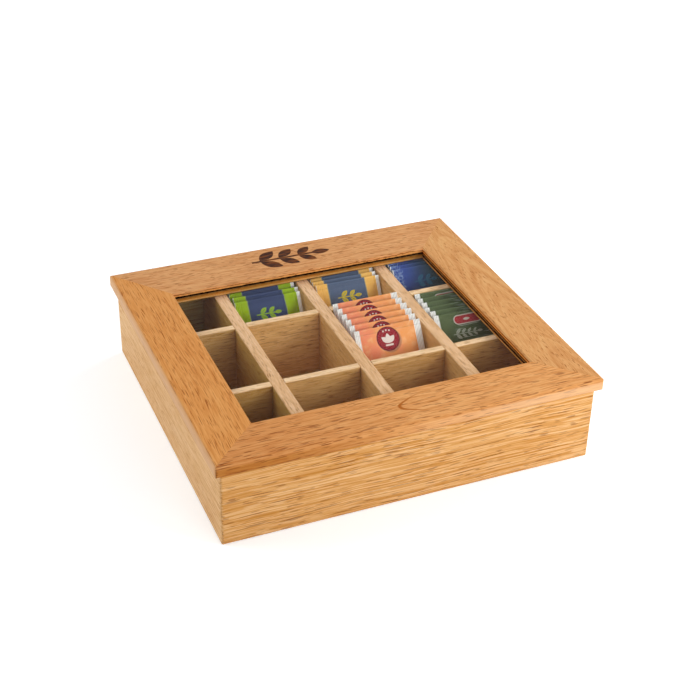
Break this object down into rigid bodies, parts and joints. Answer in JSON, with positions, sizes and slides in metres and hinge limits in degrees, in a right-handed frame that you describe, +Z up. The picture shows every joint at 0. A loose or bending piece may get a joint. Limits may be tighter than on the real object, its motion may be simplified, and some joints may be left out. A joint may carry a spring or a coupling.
{
  "type": "tea bag organizer box",
  "caption": "Low wooden tea bag box with a divided base, a hinged frame lid with a clear window, and stacks of flat tea sachets in some compartments.",
  "frame": {"origin": "on the surface the box stands on, below the middle of the lid's outline", "axes": "+X to the right along the long side, +Y to the hinged back, +Z up"},
  "size_m": [0.335, 0.312, 0.0803],
  "materials": {
    "lid_wood": "satin lacquer over an orange-tan hardwood with short dark pores",
    "base_wood": "satin lacquer over a straw-tan hardwood with streaked grain",
    "divider_wood": "sanded pale hardwood, nearly matt",
    "panel_wood": "sanded pale panel, matt",
    "bead_wood": "satin lacquer",
    "window_glass": "clear and polished",
    "hinge_brass": "brushed",
    "pin_brass": "turned",
    "screw_brass": "turned",
    "paper_green": "printed sachet paper, soft sheen",
    "paper_amber": "printed sachet paper, soft sheen",
    "paper_blue": "printed sachet paper, soft sheen",
    "paper_orange": "printed sachet paper, soft sheen",
    "paper_dark_green": "printed sachet paper, soft sheen"
  },
  "bodies": {
    "box": {"front_board": "base_wood", "back_board": "base_wood", "left_board": "base_wood", "right_board": "base_wood", "bottom_panel": "panel_wood", "long_divider_left": "divider_wood", "long_divider_middle": "divider_wood", "long_divider_right": "divider_wood", "cross_divider_front": "divider_wood", "cross_divider_back": "divider_wood", "left_hinge_base_leaf": "hinge_brass", "right_hinge_base_leaf": "hinge_brass", "left_hinge_pin": "pin_brass", "right_hinge_pin": "pin_brass", "base_hinge_screws": "screw_brass", "sachets_green": "paper_green", "sachets_amber": "paper_amber", "sachets_blue": "paper_blue", "sachets_orange": "paper_orange", "sachets_dark_green": "paper_dark_green"},
    "lid": {"lid_front_rail": "lid_wood", "lid_back_rail": "lid_wood", "lid_left_rail": "lid_wood", "lid_right_rail": "lid_wood", "window_pane": "window_glass", "front_bead": "bead_wood", "back_bead": "bead_wood", "left_bead": "bead_wood", "right_bead": "bead_wood", "left_hinge_lid_leaf": "hinge_brass", "right_hinge_lid_leaf": "hinge_brass", "lid_hinge_screws": "screw_brass"}
  },
  "joints": [
    {"name": "lid_hinge", "type": "hinge", "parent": "box", "child": "lid", "pos_m": [0, 0.1509, 0.06865], "axis": [-1, 0, 0], "range_deg": [0, 105]}
  ]
}
